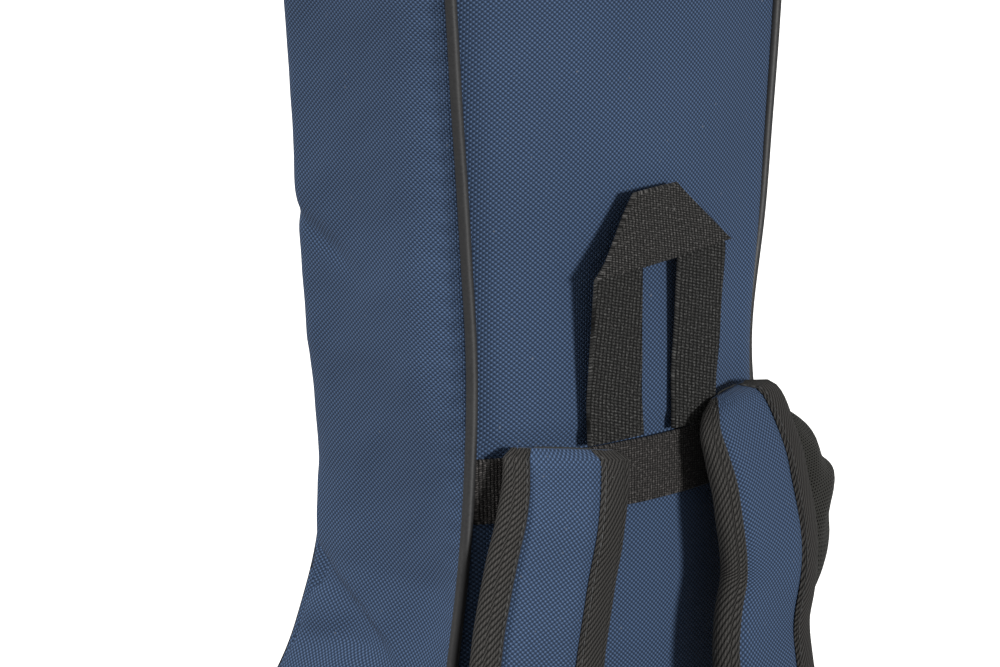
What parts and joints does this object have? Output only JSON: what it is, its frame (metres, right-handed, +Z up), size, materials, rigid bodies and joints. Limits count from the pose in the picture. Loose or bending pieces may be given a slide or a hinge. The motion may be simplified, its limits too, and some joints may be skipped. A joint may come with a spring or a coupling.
{
  "type": "padded gig bag",
  "caption": "Padded acoustic guitar gig bag with crowned strap side, zipped front lid, two pockets, shoulder straps, hang loop and side handle.",
  "frame": {"origin": "centre of the base patch's underside", "axes": "+Z up along the neck, -Y is the strap side that faces the wearer's back, +Y the opening lid, +X the hinged side with the carry handle"},
  "size_m": [0.4353, 0.2265, 1.0722],
  "materials": {
    "shell_blue": "matte",
    "padding": "matte",
    "lining_grey": "matte",
    "welt_vinyl": "satin",
    "webbing_black": "matte",
    "band_grosgrain": "matte",
    "binding_tape": "matte",
    "mesh_lining": "matte",
    "zip_tape": "matte",
    "zip_teeth": "satin",
    "zip_metal": "satin",
    "buckle_plastic": "matte",
    "grip_rubber": "matte",
    "base_rubber": "matte"
  },
  "bodies": {
    "root": {"back_cover": "shell_blue", "back_foam": "padding", "back_lining": "lining_grey", "back_piping": "welt_vinyl", "gusset_cover": "shell_blue", "gusset_foam_bottom": "padding", "gusset_foam_left_body": "padding", "gusset_foam_right_body": "padding", "gusset_foam_left_neck": "padding", "gusset_foam_right_neck": "padding", "gusset_foam_top": "padding", "gusset_lining": "lining_grey", "zipper_tape_base": "zip_tape", "main_zipper_chain": "zip_teeth", "lid_hinge_tape": "zip_tape", "neck_rest": "lining_grey", "neck_tie_strap": "webbing_black", "end_bumper": "padding", "base_patch": "base_rubber", "strap_anchor_band": "band_grosgrain", "lower_anchor_tab_left": "webbing_black", "lower_anchor_tab_right": "webbing_black", "hang_loop_tails": "webbing_black", "handle_anchor_patches": "webbing_black"},
    "lid": {"lid_cover": "shell_blue", "lid_foam": "padding", "lid_lining": "lining_grey", "zipper_tape_lid": "zip_tape", "body_pocket_cover": "shell_blue", "body_pocket_chain": "zip_teeth", "neck_pocket_cover": "shell_blue", "neck_pocket_chain": "zip_teeth"},
    "main_left_slider": {"main_left_slider": "zip_metal"},
    "main_left_pull": {"main_left_pull": "zip_metal"},
    "main_right_slider": {"main_right_slider": "zip_metal"},
    "main_right_pull": {"main_right_pull": "zip_metal"},
    "body_pocket_slider": {"body_pocket_slider": "zip_metal"},
    "body_pocket_pull": {"body_pocket_pull": "zip_metal"},
    "neck_pocket_slider": {"neck_pocket_slider": "zip_metal"},
    "neck_pocket_pull": {"neck_pocket_pull": "zip_metal"},
    "hang_loop": {"hang_loop": "webbing_black"},
    "carry_handle": {"carry_handle_grip": "grip_rubber", "carry_handle_webbing": "webbing_black"},
    "strap_left": {"strap_left_foam": "padding", "strap_left_cover": "shell_blue", "strap_left_lining": "mesh_lining", "strap_left_binding": "binding_tape", "strap_left_webbing": "webbing_black"},
    "strap_right": {"strap_right_foam": "padding", "strap_right_cover": "shell_blue", "strap_right_lining": "mesh_lining", "strap_right_binding": "binding_tape", "strap_right_webbing": "webbing_black"},
    "ladder_lock_left": {"ladder_lock_left": "buckle_plastic"},
    "ladder_lock_right": {"ladder_lock_right": "buckle_plastic"}
  },
  "joints": [
    {"name": "lid_hinge", "type": "hinge", "parent": "root", "child": "lid", "pos_m": [0.194, 0.0655, 0.131], "axis": [0, 0, -1], "range_deg": [0, 120], "deforming": ["lid_hinge_tape"]},
    {"name": "main_left_slide", "type": "slide", "parent": "root", "child": "main_left_slider", "axis": [0.0774, 0, -0.997], "range_m": [-0.05, 0.225]},
    {"name": "main_right_slide", "type": "slide", "parent": "root", "child": "main_right_slider", "axis": [-0.0774, 0, -0.997], "range_m": [-0.05, 0.225]},
    {"name": "body_pocket_slide", "type": "slide", "parent": "lid", "child": "body_pocket_slider", "axis": [1, 0, 0], "range_m": [0, 0.19]},
    {"name": "neck_pocket_slide", "type": "slide", "parent": "lid", "child": "neck_pocket_slider", "axis": [0, 0, -1], "range_m": [0, 0.19]},
    {"name": "main_left_pull_hinge", "type": "hinge", "parent": "main_left_slider", "child": "main_left_pull", "pos_m": [-0.08135, 0.0321, 0.905], "axis": [0.997, 0, 0.0774], "range_deg": [0, 170]},
    {"name": "main_right_pull_hinge", "type": "hinge", "parent": "main_right_slider", "child": "main_right_pull", "pos_m": [0.08135, 0.0321, 0.905], "axis": [0.997, 0, -0.0774], "range_deg": [0, 170]},
    {"name": "body_pocket_pull_hinge", "type": "hinge", "parent": "body_pocket_slider", "child": "body_pocket_pull", "pos_m": [-0.098, 0.0995, 0.3082], "axis": [0, 0, 1], "range_deg": [0, 170]},
    {"name": "neck_pocket_pull_hinge", "type": "hinge", "parent": "neck_pocket_slider", "child": "neck_pocket_pull", "pos_m": [0, 0.0565, 0.885], "axis": [1, 0, 0], "range_deg": [0, 170]},
    {"name": "hang_loop_hinge", "type": "hinge", "parent": "root", "child": "hang_loop", "pos_m": [0.004, -0.082, 0.617], "axis": [1, 0, 0], "range_deg": [0, 70], "stiffness_Nm_per_rad": 0.03},
    {"name": "carry_handle_hinge", "type": "hinge", "parent": "root", "child": "carry_handle", "pos_m": [0.17847, -0.003, 0.278], "axis": [-0.1379, 0, 0.9905], "range_deg": [-60, 60], "deforming": ["carry_handle_webbing"]},
    {"name": "strap_left_hinge", "type": "hinge", "parent": "root", "child": "strap_left", "pos_m": [-0.049, -0.072, 0.604], "axis": [-1, 0, 0], "range_deg": [0, 20], "deforming": ["strap_left_webbing"]},
    {"name": "strap_right_hinge", "type": "hinge", "parent": "root", "child": "strap_right", "pos_m": [0.043, -0.072, 0.611], "axis": [-1, 0, 0], "range_deg": [0, 20], "deforming": ["strap_right_webbing"]},
    {"name": "ladder_lock_left_tilt", "type": "hinge", "parent": "strap_left", "child": "ladder_lock_left", "pos_m": [-0.12462, -0.09638, 0.18661], "axis": [-0.9637, 0.1699, 0.2061], "range_deg": [0, 35]},
    {"name": "ladder_lock_right_tilt", "type": "hinge", "parent": "strap_right", "child": "ladder_lock_right", "pos_m": [0.12467, -0.09733, 0.18663], "axis": [-0.9594, -0.1692, -0.2257], "range_deg": [0, 35]}
  ]
}
